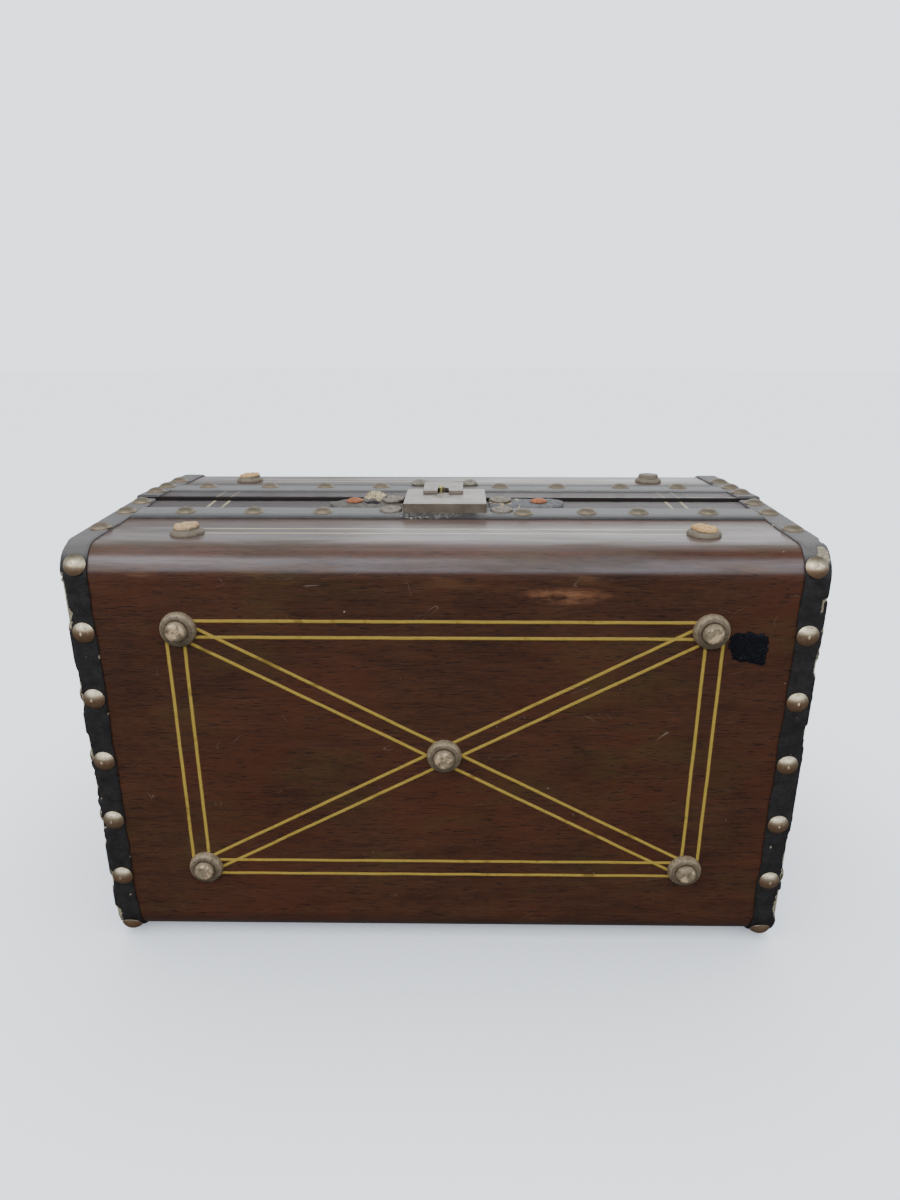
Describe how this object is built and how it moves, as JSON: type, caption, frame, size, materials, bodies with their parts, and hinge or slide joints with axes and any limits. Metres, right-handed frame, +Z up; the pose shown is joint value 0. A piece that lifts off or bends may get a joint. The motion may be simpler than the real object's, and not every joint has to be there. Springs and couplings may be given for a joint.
{
  "type": "small hinged travel case",
  "caption": "Small hard travel case of bent board with leather bindings, domed nails and turned bosses; two equal halves hinged along the bottom seam and closed by a lock on the top seam.",
  "frame": {"origin": "on the ground, midway along the case and on the seam between the halves", "axes": "+X along the case to the right as the decorated front is faced, +Y from the front half to the rear half, +Z up"},
  "size_m": [0.3578, 0.205, 0.2291],
  "materials": {
    "stained_board": "dark brown stained grain under old satin varnish, with painted gold lines",
    "black_leather": "black, dry, scuffed to pale fibre on the edges",
    "tab_leather": "grey-brown, cracked and curled",
    "lining_paper": "printed buff cloth paper, matt",
    "inner_wood": "plain beech, oiled",
    "nail_metal": "nickelled brass worn to pale brass",
    "aged_rivet": "dull, oxidised",
    "rusty_rivet": "orange rust",
    "turned_boss": "bronze-grey paint worn to pale wood at the tip",
    "lock_steel": "old nickel plate, dull and pitted",
    "hinge_steel": "dull steel",
    "knob_brass": "tarnished brass"
  },
  "bodies": {
    "rear_half": {"hasp_leaf": "lock_steel", "hasp_pin": "lock_steel", "hasp_rivets": "aged_rivet", "left_hinge_pin": "hinge_steel", "rear_binding_nails": "nail_metal", "rear_boss_centre": "turned_boss", "rear_boss_high_left": "turned_boss", "rear_boss_high_right": "turned_boss", "rear_boss_low_left": "turned_boss", "rear_boss_low_right": "turned_boss", "rear_boss_top_left": "turned_boss", "rear_boss_top_right": "turned_boss", "rear_bottom_strap": "black_leather", "rear_hinge_screws": "hinge_steel", "rear_left_binding": "black_leather", "rear_left_end": "stained_board", "rear_left_hinge_leaf": "hinge_steel", "rear_left_strap": "black_leather", "rear_lining": "lining_paper", "rear_right_binding": "black_leather", "rear_right_end": "stained_board", "rear_right_hinge_leaf": "hinge_steel", "rear_right_strap": "black_leather", "rear_shell": "stained_board", "rear_strap_nails": "nail_metal", "rear_top_strap": "black_leather", "right_hinge_pin": "hinge_steel"},
    "front_half": {"disc_rivets": "aged_rivet", "front_binding_nails": "nail_metal", "front_boss_centre": "turned_boss", "front_boss_high_left": "turned_boss", "front_boss_high_right": "turned_boss", "front_boss_low_left": "turned_boss", "front_boss_low_right": "turned_boss", "front_boss_top_left": "turned_boss", "front_boss_top_right": "turned_boss", "front_bottom_strap": "black_leather", "front_hinge_screws": "hinge_steel", "front_left_binding": "black_leather", "front_left_end": "stained_board", "front_left_hinge_leaf": "hinge_steel", "front_left_strap": "black_leather", "front_lining": "lining_paper", "front_lip": "inner_wood", "front_right_binding": "black_leather", "front_right_end": "stained_board", "front_right_hinge_leaf": "hinge_steel", "front_right_strap": "black_leather", "front_shell": "stained_board", "front_strap_nails": "nail_metal", "front_top_strap": "black_leather", "handle_tab_left": "tab_leather", "handle_tab_right": "tab_leather", "handle_tab_rivets": "rusty_rivet", "lock_base": "lock_steel", "lock_case": "lock_steel"},
    "lock_slide": {"lock_bolt": "lock_steel", "lock_knob": "knob_brass"},
    "hasp": {"hasp": "lock_steel"}
  },
  "joints": [
    {"name": "front_half_swing", "type": "hinge", "parent": "rear_half", "child": "front_half", "pos_m": [0, 0, 0.0032], "axis": [1, 0, 0], "range_deg": [0, 100]},
    {"name": "hasp_lift", "type": "hinge", "parent": "rear_half", "child": "hasp", "pos_m": [0, 0.0166, 0.2257], "axis": [-1, 0, 0], "range_deg": [0, 110]},
    {"name": "lock_knob_slide", "type": "slide", "parent": "front_half", "child": "lock_slide", "axis": [1, 0, 0], "range_m": [0, 0.003]}
  ]
}
